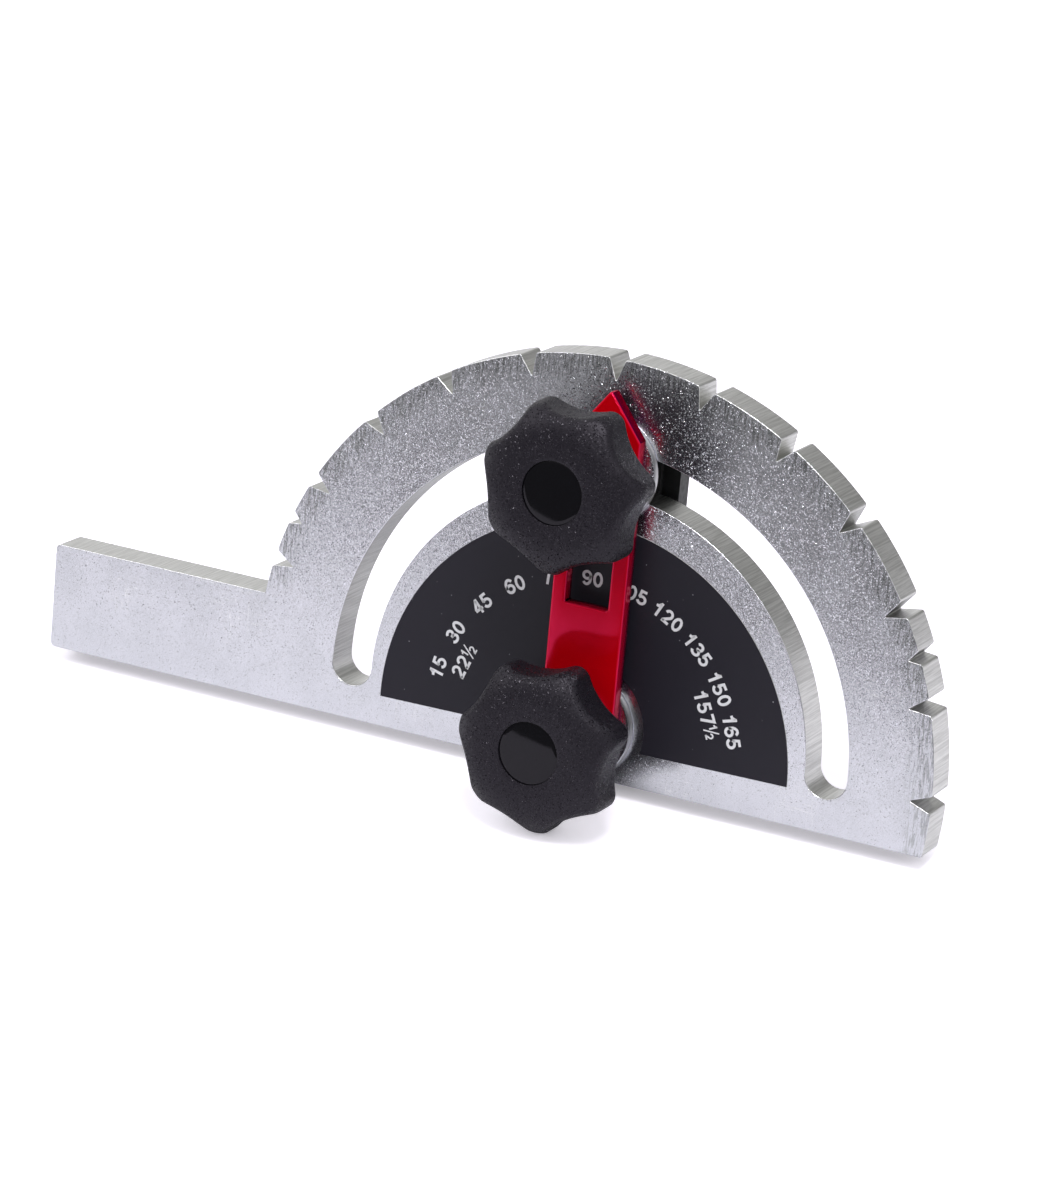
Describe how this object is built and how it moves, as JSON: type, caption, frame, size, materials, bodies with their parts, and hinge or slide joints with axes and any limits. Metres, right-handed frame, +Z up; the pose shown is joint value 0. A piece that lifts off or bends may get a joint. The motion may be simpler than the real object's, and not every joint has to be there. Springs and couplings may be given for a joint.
{
  "type": "protractor",
  "caption": "Notched half-round steel protractor plate with a tongue, a stuck-on angle scale, a swinging pointer and two star knobs that clamp it at any angle.",
  "frame": {"origin": "on the plate's straight bottom edge, right under the pivot, at the middle of the plate's thickness", "axes": "+X along the straight edge, away from the tongue; +Y from the scale side to the back; +Z up the plate, across the straight edge"},
  "size_m": [0.2288, 0.0447, 0.1061],
  "materials": {
    "zinc_steel": "bright zinc plate with a fine speckled grain",
    "label_film": "matt black printed film",
    "red_paint": "gloss red enamel",
    "strip_fibre": "black fibre strip",
    "black_paint": "satin black paint",
    "black_steel": "black oxide on steel",
    "knob_plastic": "matt black moulding with a fine grain",
    "insert_brass": "machined",
    "cap_plastic": "smooth gloss black"
  },
  "bodies": {
    "plate_body": {"protractor_plate": "zinc_steel", "scale_label": "label_film"},
    "arm_body": {"pointer_arm": "red_paint", "wear_strip": "strip_fibre", "backing_bar": "black_paint", "pivot_screw": "black_steel", "clamp_screw": "black_steel", "pivot_spacer_washer": "zinc_steel", "clamp_spacer_washer": "zinc_steel"},
    "pivot_washer_body": {"pivot_knob_washer": "zinc_steel"},
    "pivot_knob_body": {"pivot_knob": "knob_plastic", "pivot_knob_insert": "insert_brass", "pivot_knob_cap": "cap_plastic"},
    "clamp_washer_body": {"clamp_knob_washer": "zinc_steel"},
    "clamp_knob_body": {"clamp_knob": "knob_plastic", "clamp_knob_insert": "insert_brass", "clamp_knob_cap": "cap_plastic"}
  },
  "joints": [
    {"name": "arm_swing", "type": "hinge", "parent": "plate_body", "child": "arm_body", "pos_m": [0, 0, 0.0125], "axis": [0, -1, 0], "range_deg": [-89, 89]},
    {"name": "pivot_knob_lift", "type": "slide", "parent": "arm_body", "child": "pivot_washer_body", "axis": [0, -1, 0], "range_m": [0, 0.0024]},
    {"name": "pivot_knob_turn", "type": "hinge", "parent": "pivot_washer_body", "child": "pivot_knob_body", "pos_m": [0, 0, 0.0125], "axis": [0, -1, 0], "range_deg": [0, 540]},
    {"name": "clamp_knob_lift", "type": "slide", "parent": "arm_body", "child": "clamp_washer_body", "axis": [0, -1, 0], "range_m": [0, 0.0024]},
    {"name": "clamp_knob_turn", "type": "hinge", "parent": "clamp_washer_body", "child": "clamp_knob_body", "pos_m": [0, 0, 0.073], "axis": [0, -1, 0], "range_deg": [0, 540]}
  ],
  "couplings": [
    {"joint": "pivot_knob_lift", "follows": "pivot_knob_turn", "m_per_rad": 0.00025266},
    {"joint": "clamp_knob_lift", "follows": "clamp_knob_turn", "m_per_rad": 0.00025266}
  ]
}
